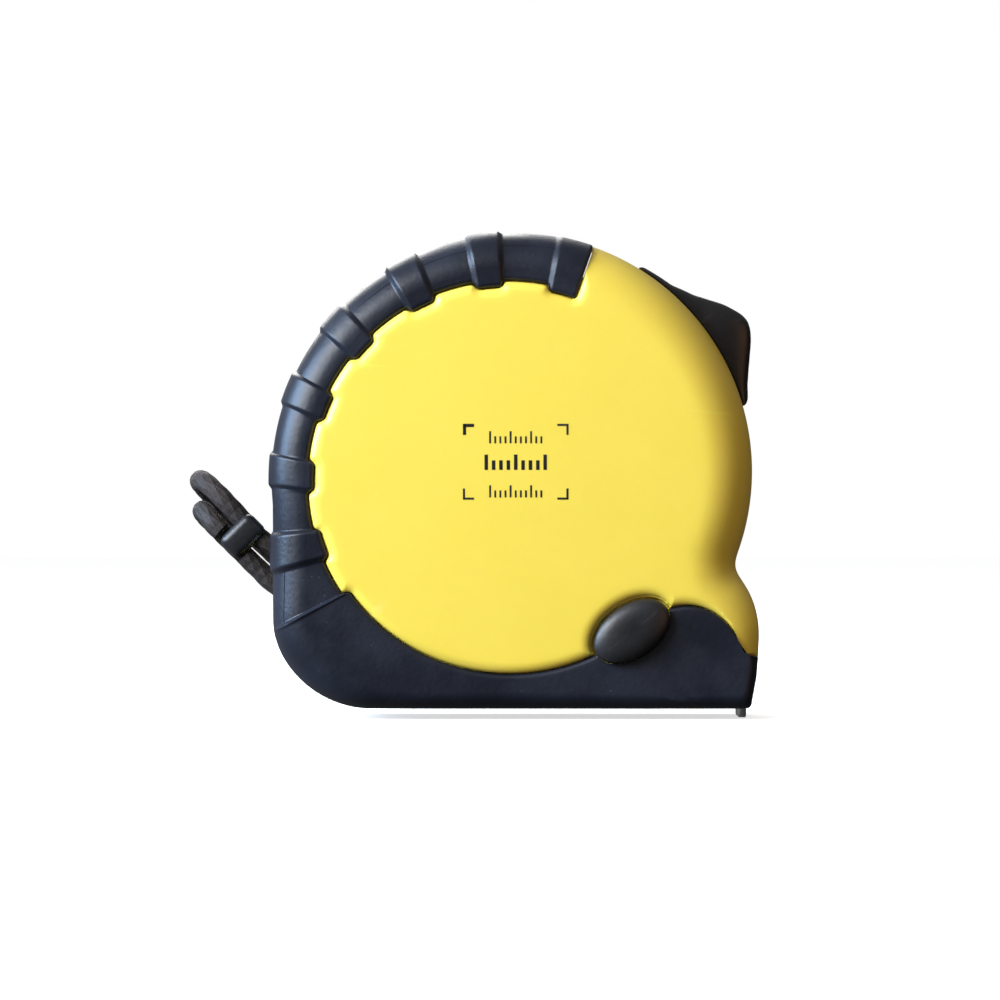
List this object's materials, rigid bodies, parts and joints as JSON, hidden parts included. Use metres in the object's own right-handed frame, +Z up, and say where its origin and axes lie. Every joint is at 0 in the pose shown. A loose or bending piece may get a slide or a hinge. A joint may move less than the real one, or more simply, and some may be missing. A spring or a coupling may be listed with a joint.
{
  "type": "tape measure",
  "caption": "Pocket tape measure: hard case halves in a ribbed rubber grip, with thumb lock, side brake button, hooked blade, spring reel, belt clip and wrist cord.",
  "frame": {"origin": "on the flat base, under the reel's axis, at the middle of the blade's width", "axes": "+X towards the mouth that the blade leaves by, +Y towards the belt clip, +Z up from the base"},
  "size_m": [0.0903, 0.0694, 0.0766],
  "materials": {
    "case_yellow": "satin moulded plastic",
    "grip_rubber": "fine matt texture",
    "black_plastic": "satin",
    "pale_plastic": "satin",
    "bright_steel": "nickel plated",
    "spring_steel": "blued and oiled",
    "blade_paint": "gloss lacquer over steel",
    "cord_fabric": "braided"
  },
  "bodies": {
    "case": {"front_shell": "case_yellow", "rear_shell": "case_yellow", "front_grip": "grip_rubber", "rear_grip": "grip_rubber", "mouth_wear_plate": "bright_steel", "mouth_bumper": "grip_rubber", "case_screw_1": "bright_steel", "case_screw_2": "bright_steel", "case_screw_3": "bright_steel", "centre_post": "pale_plastic", "post_washer_front": "pale_plastic", "post_washer_rear": "pale_plastic", "blade_lead": "blade_paint", "lock_detent_spring": "spring_steel", "button_spring": "spring_steel", "belt_clip": "bright_steel", "clip_screw": "bright_steel", "strap_pin": "bright_steel", "cord_anchor_loop": "cord_fabric", "cord_keeper": "black_plastic", "wrist_cord": "cord_fabric"},
    "reel": {"reel_drum": "pale_plastic", "reel_cover": "pale_plastic", "power_spring": "spring_steel", "spring_hook_plate": "bright_steel", "blade_coil": "blade_paint"},
    "blade": {"blade_tongue": "blade_paint", "hook_rivet_left": "bright_steel", "hook_rivet_right": "bright_steel"},
    "hook": {"end_hook": "bright_steel"},
    "lock": {"thumb_lock": "black_plastic", "lock_arm": "black_plastic", "lock_brake_pad": "grip_rubber"},
    "button": {"side_button": "black_plastic", "side_brake_shoe": "black_plastic"}
  },
  "joints": [
    {"name": "reel_spin", "type": "hinge", "parent": "case", "child": "reel", "pos_m": [0, 0, 0.0372], "axis": [0, -1, 0], "range_deg": [0, 78.4]},
    {"name": "blade_slide", "type": "slide", "parent": "case", "child": "blade", "axis": [1, 0, 0], "range_m": [0, 0.036]},
    {"name": "hook_play", "type": "slide", "parent": "blade", "child": "hook", "axis": [1, 0, 0], "range_m": [-0.0009, 0]},
    {"name": "thumb_lock_turn", "type": "hinge", "parent": "case", "child": "lock", "pos_m": [0, 0, 0.0372], "axis": [0, 1, 0], "range_deg": [0, 10]},
    {"name": "side_button_press", "type": "slide", "parent": "case", "child": "button", "axis": [0, 1, 0], "range_m": [0, 0.0016], "deforming": ["button_spring"]}
  ],
  "couplings": [
    {"joint": "blade_slide", "follows": "reel_spin", "m_per_rad": 0.0263}
  ]
}
